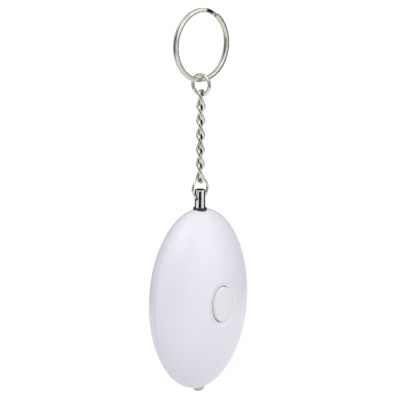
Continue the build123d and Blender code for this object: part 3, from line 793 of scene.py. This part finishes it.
def make_chain():
    """All the links, each on its own body."""
    sizes = bpy.context.scene.alarm_chain
    inset = sizes.wire / 2 - sizes.reach
    for node in sorted(node for node in frame["nodes"] if node.startswith("chain_link_")):
        low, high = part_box(node)
        points = link_points(high.z - inset, low.z + inset, sizes)
        item = line_object(node.replace("chain_link", "twisted_link"), points, closed=True)
        grow(
            item, round_wire_tree(), wire_diameter=sizes.wire, sides=sizes.sides,
            material=nickel_material(),
        )
        smooth(item, angle=50.0)
        finish_piece(item, body_of(node), [node])


# Pin, socket and lamp


def make_pull_pin():
    """The chromed head with its cross hole, and its shaft."""
    sizes = bpy.context.scene.alarm_pin
    wire = bpy.context.scene.alarm_rings.lower_wire
    low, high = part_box("pull_pin")
    ring_low, ring_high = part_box("lower_jump_ring")
    head, shaft, spigot = (high.x - low.x) / 2, sizes.shaft / 2, sizes.spigot / 2
    rim, foot = sizes.head_rounding, sizes.foot_rounding
    seat = high.z - sizes.head_length
    shaft_end = low.z + sizes.spigot_length
    profile = [(0.0, high.z)]
    profile += arc(head - rim, high.z - rim, rim, 90, 0, steps=8)
    profile += [(head, high.z - (high.z - seat) * share) for share in (0.25, 0.5, 0.75)]
    profile += arc(head - foot, seat + foot, foot, 0, -90, steps=4)
    profile += [(shaft, seat), (shaft, shaft_end), (spigot, shaft_end), (spigot, low.z), (0.0, low.z)]
    item = revolved("pin_head", profile)
    bend = (ring_high.z - ring_low.z - wire) / 2
    hole = (wire + bend - sqrt(bend ** 2 - head ** 2)) / 2 + sizes.hole_clearance
    drill = bmesh.new()
    bmesh.ops.create_cone(
        drill, cap_ends=True, segments=48, radius1=hole, radius2=hole, depth=4 * head,
        matrix=Matrix.Translation((0, 0, high.z - sizes.hole_depth)) @ Matrix.Rotation(pi / 2, 4, "Y"),
    )
    cut_away(item, mesh_object("drill", drill))
    smooth(item, angle=35.0)

    def side_normal(face, vertex):
        across = [item.data.vertices[v].co.xy.length for v in face.vertices]
        on_side = min(across) > head - SIDE_TOLERANCE
        return Vector((vertex.co.x, vertex.co.y, 0)).normalized() if on_side else None

    set_normals(item, side_normal)
    finish_piece(item, "pin", ["pull_pin"], chrome_material())


def make_pin_tip():
    """The insulating tip on the peg at the shaft's end."""
    sizes = bpy.context.scene.alarm_pin
    low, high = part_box("pin_tip")
    radius, taper, spigot = (high.x - low.x) / 2, sizes.tip_taper, sizes.spigot / 2
    peg_end = high.z - sizes.spigot_length
    profile = [(spigot, high.z), (radius, high.z), (radius, low.z + taper), (radius - taper, low.z)]
    profile += [(0.0, low.z), (0.0, peg_end), (spigot, peg_end)]
    tip = revolved("insulating_tip", profile, steps=64, closed=True)
    smooth(tip, angle=35.0)
    finish_piece(tip, "pin", ["pin_tip"], collar_material())


def make_socket():
    """The black collar, its flange under the shell and its guide sleeve."""
    sizes = bpy.context.scene.alarm_pin
    low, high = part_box("pin_socket")
    bore, collar, sleeve = sizes.shaft / 2 + sizes.bore_gap, sizes.collar / 2, sizes.sleeve / 2
    flange, rim = (high.x - low.x) / 2, sizes.collar_rounding
    flange_top = high.z - sizes.flange_drop
    flange_low = flange_top - sizes.flange_thickness
    profile = arc(bore + rim, high.z - rim, rim, 180, 90, steps=5)
    profile += arc(collar - rim, high.z - rim, rim, 90, 0, steps=5)
    profile += [(collar, flange_top), (flange, flange_top), (flange, flange_low), (sleeve, flange_low)]
    profile += [(sleeve, low.z), (bore, low.z)]
    item = revolved("socket_collar", profile, steps=80, closed=True)
    smooth(item, angle=35.0)
    finish_piece(item, "case", ["pin_socket"], collar_material())


def make_lamp():
    """The clear lens, with its flange in the seat."""
    sizes = bpy.context.scene.alarm_pin
    low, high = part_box("torch_lamp")
    radius, flange = sizes.lamp / 2, (high.x - low.x) / 2
    nose, flange_low = low.z + radius, high.z - sizes.lamp_flange
    edge = 0.1 * MM
    profile = [(0.0, low.z)] + arc(0.0, nose, radius, -85, 0, steps=20)
    profile += [(radius, flange_low), (flange - edge, flange_low), (flange, flange_low + edge)]
    profile += [(flange, high.z - edge), (flange - edge, high.z), (0.0, high.z)]
    item = revolved("lamp_lens", profile)
    smooth(item, angle=30.0)
    finish_piece(item, "case", ["torch_lamp"], lens_material())


# Shells


def egg_level(point, egg):
    """Level of a point against an egg form (centre, half sizes): 1 on its face."""
    return sqrt(sum(((p - c) / r) ** 2 for p, c, r in zip(point, *egg)))


def egg_normal(point, egg):
    """Direction square to an egg form at a point."""
    return Vector([(p - c) / r ** 2 for p, c, r in zip(point, *egg)]).normalized()


def onto_egg(point, egg):
    """A point moved out or in until it lies on an egg form."""
    level = egg_level(point, egg)
    return Vector([c + (p - c) / level for p, c in zip(point, egg[0])])


def on_egg(points, egg):
    """Whether all points lie on an egg form."""
    return all(abs(egg_level(p, egg) - 1) * egg[1][1] < FACE_TOLERANCE for p in points)


def case_forms():
    """The case's egg and the dish's ball, as (centre, half sizes)."""
    sizes = bpy.context.scene.alarm_case
    low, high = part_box("rear_shell")
    half_depth = high.y
    half_width = (high.x - low.x) / 2
    button_low, button_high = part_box("push_button")
    button_z = (button_low.z + button_high.z) / 2
    depth = sizes.dish_lift + sizes.dish_depth
    reach = sqrt(1.0 - (sizes.dish_lift / depth) ** 2)
    egg = ((0.0, 0.0, button_z - sizes.button_rise), (half_width, half_depth, sizes.height / 2))
    dish = (
        (0.0, -half_depth - sizes.dish_lift, button_z),
        (sizes.dish_width / 2 / reach, depth, sizes.dish_height / 2 / reach),
    )
    return egg, dish


def mark_skins(form, egg, dish, front):
    """Marks a shell's faces on the egg, on the dish's ball and on the rounding between them."""
    sizes = bpy.context.scene.alarm_case
    half_width, half_height = sizes.button_width / 2, sizes.button_height / 2

    def in_rim(point):
        across, up = point.x / half_width, (point.z - dish[0][2]) / half_height
        return (
            egg_level(point, egg) > RIM_LEVEL
            and point.y < -egg[1][1] + RIM_DEPTH
            and RIM_INNER < sqrt(across ** 2 + up ** 2) < RIM_OUTER
        )

    for face in form.faces:
        points = [v.co for v in face.verts]
        face.material_index = PLAIN
        if on_egg(points, egg):
            face.material_index = ON_EGG
        elif front and on_egg(points, dish):
            face.material_index = ON_DISH
        elif front and all(in_rim(p) for p in points):
            face.material_index = ON_RIM


def refine_skins(form, egg, dish):
    """Divides the long edges of the outer faces and moves the new points onto the true forms."""
    longest = bpy.context.scene.alarm_case.skin_edge
    for _ in range(SKIN_ROUNDS):
        edges = {
            edge for face in form.faces if face.material_index in (ON_EGG, ON_DISH)
            for edge in face.edges if edge.calc_length() > longest
        }
        if not edges:
            break
        bmesh.ops.subdivide_edges(form, edges=list(edges), cuts=1)
        bmesh.ops.triangulate(form, faces=[f for f in form.faces if len(f.verts) > 3])
        for face in form.faces:
            if face.material_index == ON_EGG:
                for vert in face.verts:
                    vert.co = onto_egg(vert.co, egg)
        for face in form.faces:
            if face.material_index == ON_DISH:
                for vert in face.verts:
                    if not any(other.material_index == ON_EGG for other in vert.link_faces):
                        vert.co = onto_egg(vert.co, dish)


def make_shell(name, node):
    """A copy of a shell with fine, true outer faces: the egg, the dish and the rounding between."""
    egg, dish = case_forms()
    form = bmesh.new()
    form.from_mesh(frame["nodes"][node].data)
    bmesh.ops.remove_doubles(form, verts=form.verts, dist=MERGE_DISTANCE)
    mark_skins(form, egg, dish, node == "front_shell")
    refine_skins(form, egg, dish)
    item = mesh_object(name, form)
    smooth(item, angle=32.0)
    skins = {}
    for face in item.data.polygons:
        for vertex in face.vertices:
            skins.setdefault(vertex, set()).add(face.material_index)

    def skin_normal(face, vertex):
        if face.material_index == PLAIN:
            return None
        if ON_EGG in skins[vertex.index]:
            return egg_normal(vertex.co, egg)
        if ON_DISH in skins[vertex.index]:
            return -egg_normal(vertex.co, dish)
        return None

    set_normals(item, skin_normal)
    for face in item.data.polygons:
        face.material_index = 0
    finish_piece(item, "case", [node], shell_material())


# Button


def make_button():
    """The oval cap with its crowned face, the flange behind the shell, and the stem."""
    sizes = bpy.context.scene.alarm_case
    low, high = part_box("push_button")
    middle = (low.z + high.z) / 2
    half_width, half_height = sizes.button_width / 2, sizes.button_height / 2
    flange, skin, stem = sizes.button_flange, sizes.button_skin, sizes.button_stem / 2
    face_y, back_y, rounding = low.y, high.y, sizes.button_rounding
    stations = [(0.0, 0.0, face_y - sizes.button_crown)]
    for share in (0.2, 0.4, 0.6, 0.8, 0.92):
        rise = sizes.button_crown * (1 - share ** 2)
        stations.append(((half_width - rounding) * share, (half_height - rounding) * share, face_y - rise))
    for inset, drop in arc(rounding, rounding, rounding, 270, 180, steps=8):
        stations.append((half_width - inset, half_height - inset, face_y + drop))
    flange_front = back_y - flange
    stations += [(half_width, half_height, flange_front)]
    stations += [(half_width + flange, half_height + flange, y) for y in (flange_front, back_y)]
    stations += [(half_width - skin, half_height - skin, y) for y in (back_y, face_y + skin)]
    stations += [(stem, stem, y) for y in (face_y + skin, back_y)] + [(0.0, 0.0, back_y)]
    form = bmesh.new()
    rings = []
    for across, up, y in stations:
        turns = turns_round(BUTTON_STEPS if across else 1)
        rings.append([form.verts.new((across * cos(t), y, middle + up * sin(t))) for t in turns])
    bridge_rings(form, rings)
    item = mesh_object("button_cap", form)
    smooth(item, angle=32.0)
    finish_piece(item, "button", ["push_button"], button_material())


# Screws


def screw_places(node, top):
    """Centres of the screws' heads, from the CAD's points at the level of their tops."""
    groups = []
    for point in (v.co.copy() for v in frame["nodes"][node].data.vertices):
        if point.y <= top - TOP_TOLERANCE:
            continue
        for group in groups:
            if (group[0] - point).length < SCREW_SPACING:
                group.append(point)
                break
        else:
            groups.append([point])
    places = []
    for group in groups:
        xs, zs = [p.x for p in group], [p.z for p in group]
        places.append(Vector(((min(xs) + max(xs)) / 2, top, (min(zs) + max(zs)) / 2)))
    return places


def cross_recess(reach, side, depth):
    """A cutter for a cross recess, as one closed form that stands proud of the head."""
    form = bmesh.new()
    arm = ((reach, -side), (reach, side), (side, side))
    turns = [Matrix.Rotation(number * pi / 2, 4, "Z") for number in range(4)]
    outline = [form.verts.new(turn @ Vector((x, y, -depth))) for turn in turns for x, y in arm]
    walls = bmesh.ops.extrude_face_region(form, geom=[form.faces.new(outline)])["geom"]
    for part in walls:
        if isinstance(part, bmesh.types.BMVert):
            part.co.z += 2 * depth
    bmesh.ops.recalc_face_normals(form, faces=form.faces)
    return mesh_object("driver_form", form)


def make_case_screws():
    """Four pan-head screws in the rear shell's recesses."""
    sizes = bpy.context.scene.alarm_screws
    low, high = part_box("case_screws")
    head, shank, top = sizes.head / 2, sizes.shank / 2, sizes.head_height
    whole, rounding = high.y - low.y, top / 2
    profile = [(0.0, 0.0)] + arc(head - rounding, -rounding, rounding, 90, 0, steps=6)
    profile += [(head, -top), (shank, -top)]
    for number in range(1, int((whole - top) / sizes.pitch)):
        start = -top - number * sizes.pitch
        profile += [(shank, start), (shank * THREAD_ROOT, start - sizes.pitch / 2)]
    profile += [(0.0, -whole)]
    screw = revolved("screw_form", profile, steps=32)
    cut_away(screw, cross_recess(sizes.slot_length / 2, sizes.slot_width / 2, top / 2))
    screw.data.transform(Matrix.Rotation(-pi / 2, 4, "X"))
    smooth(screw, angle=35.0)
    item = line_object("case_screw_set", screw_places("case_screws", high.y), joined=False)
    grow(item, repeated_tree(), form=screw, size=1.0, material=zinc_material())
    discard(screw)
    item.data.set_sharp_from_angle(angle=radians(35.0))
    finish_piece(item, "case", ["case_screws"])


# Inside


def paint_inside():
    """Materials for the parts inside the case, which keep their own forms."""
    tinned = metal("tinned_steel", (0.66, 0.66, 0.65), (0.50, 0.49, 0.46), (0.2, 0.38))
    black = moulded("moulded_black", (0.03, 0.03, 0.032), (0.045, 0.045, 0.045), (0.4, 0.6))
    cell = metal("cell_steel", (0.70, 0.70, 0.68), (0.55, 0.54, 0.50), (0.18, 0.34))
    looks = {
        "board_screws": zinc_material(),
        "circuit_board": moulded(
            "solder_mask", (0.015, 0.12, 0.05), (0.02, 0.16, 0.07), (0.25, 0.4),
            patch=400.0, grain=2500.0, bump=0.1,
        ),
        "coil_core": moulded(
            "ferrite_grey", (0.07, 0.07, 0.075), (0.10, 0.10, 0.10), (0.6, 0.8), patch=500.0
        ),
        "coil_winding": metal("enamelled_copper", (0.62, 0.27, 0.12), (0.45, 0.18, 0.08), (0.25, 0.4)),
        "capacitor": moulded("sleeve_blue", (0.03, 0.04, 0.13), (0.02, 0.03, 0.09), (0.3, 0.45)),
        "cell_tray": moulded("tray_grey", (0.62, 0.62, 0.62), (0.55, 0.55, 0.55), (0.45, 0.6)),
        "sounder_plate": metal("rolled_brass", (0.70, 0.52, 0.24), (0.50, 0.36, 0.16), (0.25, 0.42)),
        "sounder_ceramic": moulded(
            "silvered_ceramic", (0.72, 0.71, 0.66), (0.62, 0.61, 0.56), (0.4, 0.55)
        ),
        "plate_wire": moulded("insulation_black", (0.02, 0.02, 0.02), (0.03, 0.03, 0.03), (0.4, 0.55)),
        "ceramic_wire": moulded("insulation_red", (0.45, 0.02, 0.02), (0.35, 0.015, 0.015), (0.4, 0.55)),
    }
    contacts = ("contact_strip_left", "contact_strip_right", "negative_contact", "positive_contact")
    looks.update(dict.fromkeys(("lamp_leads", *contacts), tinned))
    parts = ("switch_body", "switch_plunger", "driver_chip", "transistor", "resistors")
    looks.update(dict.fromkeys(parts, black))
    looks.update(dict.fromkeys(("button_cell_1", "button_cell_2", "button_cell_3"), cell))
    for node, material in looks.items():
        item = frame["nodes"][node]
        if not item.material_slots:
            item.data.materials.append(material)
        for slot in item.material_slots:
            slot.material = material


# Stage


def emptied_tree(owner, output):
    """The node tree of a material or world, with nothing but its output node."""
    owner.use_nodes = True
    owner.node_tree.nodes.clear()
    return owner.node_tree, add_node(owner.node_tree, output)


def close_stage(tree, plain, seen, output):
    """One shader for rays that the camera, gloss or clear parts send out, and one for all other light."""
    path = add_node(tree, "ShaderNodeLightPath")
    first = add_node(tree, "ShaderNodeMath", operation="MAXIMUM")
    mask = add_node(tree, "ShaderNodeMath", operation="MAXIMUM")
    mixer = add_node(tree, "ShaderNodeMixShader")
    connect(
        tree,
        (path, "Is Camera Ray", first, 0),
        (path, "Is Glossy Ray", first, 1),
        (first, 0, mask, 0),
        (path, "Is Transmission Ray", mask, 1),
        (mask, 0, mixer, "Fac"),
        (*plain, mixer, 1),
        (*seen, mixer, 2),
        (mixer, "Shader", output, "Surface"),
    )


def make_world():
    """A white room: seen as white, and lighting the object at a plain level."""
    world = bpy.data.worlds.new("white_room")
    bpy.context.scene.world = world
    tree, output = emptied_tree(world, "ShaderNodeOutputWorld")
    seen = add_node(tree, "ShaderNodeBackground", {"Color": (*WHITE, 1.0)})
    level = bpy.context.scene.alarm_stage.world_level
    light = add_node(tree, "ShaderNodeBackground", {"Color": (*ROOM_COLOR, 1.0), "Strength": level})
    close_stage(tree, (light, "Background"), (seen, "Background"), output)


def make_floor():
    """A plain white floor far wider than the picture."""
    settings = bpy.context.scene.alarm_stage
    low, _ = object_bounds()
    form = bmesh.new()
    bmesh.ops.create_circle(
        form, cap_ends=True, segments=96, radius=FLOOR_RADIUS,
        matrix=Matrix.Translation((0, 0, low.z - settings.floor_drop)),
    )
    floor = mesh_object("stage_floor", form)
    material = bpy.data.materials.new("stage_white")
    tree, output = emptied_tree(material, "ShaderNodeOutputMaterial")
    matt = add_node(tree, "ShaderNodeBsdfDiffuse", {"Color": (*FLOOR_COLOR, 1.0)})
    glow = add_node(tree, "ShaderNodeEmission", {"Color": (*WHITE, 1.0), "Strength": FLOOR_GLOW})
    both = add_node(tree, "ShaderNodeAddShader")
    connect(tree, (matt, "BSDF", both, 0), (glow, "Emission", both, 1))
    close_stage(tree, (matt, "BSDF"), (both, "Shader"), output)
    floor.data.materials.append(material)
    floor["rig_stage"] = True


def direction(azimuth, elevation):
    """The direction from the object to a camera or light."""
    level = cos(elevation)
    return Vector((sin(azimuth) * level, -cos(azimuth) * level, sin(elevation)))


def make_light(name, azimuth, elevation, distance, size, power):
    """A soft white square light aimed at the middle of the object."""
    data = bpy.data.lights.new(name, "AREA")
    data.shape = "SQUARE"
    data.size = size
    data.energy = power
    data.color = WHITE
    lamp = link_object(name, data)
    back = direction(radians(azimuth), radians(elevation))
    lamp.location = Vector((0, 0, LIGHT_AIM)) + back * distance
    lamp.rotation_mode = "QUATERNION"
    lamp.rotation_quaternion = (-back).to_track_quat("-Z", "Y")


@once("materials", "stage_dark")
def card_material(name):
    """A matt dark grey for the cards."""
    material = bpy.data.materials.new(name)
    tree, output = emptied_tree(material, "ShaderNodeOutputMaterial")
    matt = add_node(tree, "ShaderNodeBsdfDiffuse", {"Color": (*CARD_COLOR, 1.0)})
    connect(tree, (matt, "BSDF", output, "Surface"))
    return material


def make_dark_card(name, azimuth, elevation, distance, width, height):
    """A dark card that shows only in gloss, where a studio has its camera and open side."""
    back = direction(azimuth, elevation)
    turn = (-back).to_track_quat("-Z", "Y").to_matrix().to_4x4()
    place = Matrix.Translation(Vector((0, 0, CARD_AIM)) + back * distance) @ turn
    sides = ((-1, -1), (1, -1), (1, 1), (-1, 1))
    corners = [place @ Vector((x * width / 2, y * height / 2, 0)) for x, y in sides]
    form = bmesh.new()
    form.faces.new([form.verts.new(corner) for corner in corners])
    card = mesh_object(name, form)
    card.data.materials.append(card_material())
    for ray in ("camera", "diffuse", "shadow", "transmission"):
        setattr(card, f"visible_{ray}", False)
    card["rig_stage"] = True


def make_camera():
    """The camera at the picture's angle."""
    settings = bpy.context.scene.alarm_stage
    data = bpy.data.cameras.new("camera")
    data.lens = settings.lens
    data.sensor_width = SENSOR_WIDTH
    data.clip_start, data.clip_end = NEAR_CLIP, FAR_CLIP
    camera = link_object("camera", data)
    back = direction(settings.azimuth, settings.elevation)
    camera.location = Vector((0, 0, CAMERA_HEIGHT)) + back * settings.distance
    aim = Vector((0, 0, -settings.aim_drop)) - camera.location
    camera.rotation_mode = "QUATERNION"
    roll = Quaternion((0, 0, 1), settings.roll)
    camera.rotation_quaternion = aim.to_track_quat("-Z", "Y") @ roll
    bpy.context.scene.camera = camera


# Operators


class ALARM_OT_split_ring(bpy.types.Operator):
    """Make the split ring of flat wire"""

    bl_idname = "alarm.split_ring"
    bl_label = "Split ring"

    def execute(self, context):
        make_split_ring()
        return {"FINISHED"}


class ALARM_OT_jump_rings(bpy.types.Operator):
    """Make the two jump rings of round wire"""

    bl_idname = "alarm.jump_rings"
    bl_label = "Jump rings"

    def execute(self, context):
        sizes = context.scene.alarm_rings
        make_jump_ring("jump_ring_upper", "upper_jump_ring", sizes.upper_wire, sizes.upper_turn)
        make_jump_ring("jump_ring_lower", "lower_jump_ring", sizes.lower_wire, 0.0)
        return {"FINISHED"}


class ALARM_OT_chain(bpy.types.Operator):
    """Make the twisted chain links"""

    bl_idname = "alarm.chain"
    bl_label = "Chain links"

    def execute(self, context):
        make_chain()
        return {"FINISHED"}


class ALARM_OT_pull_pin(bpy.types.Operator):
    """Make the pull pin and its insulating tip"""

    bl_idname = "alarm.pull_pin"
    bl_label = "Pull pin"

    def execute(self, context):
        make_pull_pin()
        make_pin_tip()
        return {"FINISHED"}


class ALARM_OT_socket(bpy.types.Operator):
    """Make the pin's socket"""

    bl_idname = "alarm.socket"
    bl_label = "Pin socket"

    def execute(self, context):
        make_socket()
        return {"FINISHED"}


class ALARM_OT_shells(bpy.types.Operator):
    """Make the front and rear shells"""

    bl_idname = "alarm.shells"
    bl_label = "Shells"

    def execute(self, context):
        make_shell("shell_front", "front_shell")
        make_shell("shell_rear", "rear_shell")
        return {"FINISHED"}


class ALARM_OT_button(bpy.types.Operator):
    """Make the oval push button"""

    bl_idname = "alarm.button"
    bl_label = "Push button"

    def execute(self, context):
        make_button()
        return {"FINISHED"}


class ALARM_OT_lamp(bpy.types.Operator):
    """Make the lamp's lens"""

    bl_idname = "alarm.lamp"
    bl_label = "Lamp"

    def execute(self, context):
        make_lamp()
        return {"FINISHED"}


class ALARM_OT_screws(bpy.types.Operator):
    """Make the case screws"""

    bl_idname = "alarm.screws"
    bl_label = "Case screws"

    def execute(self, context):
        make_case_screws()
        return {"FINISHED"}


class ALARM_OT_inside(bpy.types.Operator):
    """Finish the parts inside the case"""

    bl_idname = "alarm.inside"
    bl_label = "Inside parts"

    def execute(self, context):
        paint_inside()
        return {"FINISHED"}


class ALARM_OT_stage(bpy.types.Operator):
    """Make the floor, room, lights and camera"""

    bl_idname = "alarm.stage"
    bl_label = "Stage"

    def execute(self, context):
        settings = context.scene.alarm_stage
        context.scene.view_settings.view_transform = "Standard"
        make_world()
        make_floor()
        make_light("key", *KEY_PLACE, settings.key_power)
        make_light("fill", *FILL_PLACE, settings.fill_power)
        for name, (turn, elevation, distance, width, height) in CARD_PLACES.items():
            azimuth = settings.azimuth + radians(turn)
            make_dark_card(f"stage_card_{name}", azimuth, radians(elevation), distance, width, height)
        make_camera()
        return {"FINISHED"}


class ALARM_PT_panel(bpy.types.Panel):
    """The alarm's pieces in the sidebar"""

    bl_idname = "ALARM_PT_panel"
    bl_label = "Alarm"
    bl_space_type = "VIEW_3D"
    bl_region_type = "UI"
    bl_category = "Alarm"

    def draw(self, context):
        column = self.layout.column(align=True)
        for kind in OPERATORS:
            column.operator(kind.bl_idname, text=kind.bl_label)
        for name in SETTINGS:
            settings = getattr(context.scene, name)
            box = self.layout.box()
            for key in settings.__annotations__:
                box.prop(settings, key)


OPERATORS = (
    ALARM_OT_split_ring,
    ALARM_OT_jump_rings,
    ALARM_OT_chain,
    ALARM_OT_pull_pin,
    ALARM_OT_socket,
    ALARM_OT_shells,
    ALARM_OT_button,
    ALARM_OT_lamp,
    ALARM_OT_screws,
    ALARM_OT_inside,
    ALARM_OT_stage,
)
SETTINGS = {
    "alarm_rings": RingSettings,
    "alarm_chain": ChainSettings,
    "alarm_pin": PinSettings,
    "alarm_case": CaseSettings,
    "alarm_screws": ScrewSettings,
    "alarm_stage": StageSettings,
}


def register():
    """Registers the settings, operators and panel."""
    for kind in (*SETTINGS.values(), *OPERATORS, ALARM_PT_panel):
        bpy.utils.register_class(kind)
    for name, kind in SETTINGS.items():
        setattr(bpy.types.Scene, name, PointerProperty(type=kind))


def unregister():
    """Takes the settings, operators and panel away again."""
    for name in SETTINGS:
        delattr(bpy.types.Scene, name)
    for kind in reversed((*SETTINGS.values(), *OPERATORS, ALARM_PT_panel)):
        bpy.utils.unregister_class(kind)


def main():
    """Makes every piece and the stage."""
    register()
    for kind in OPERATORS:
        group, name = kind.bl_idname.split(".")
        getattr(getattr(bpy.ops, group), name)()


if __name__ == "__main__":
    main()
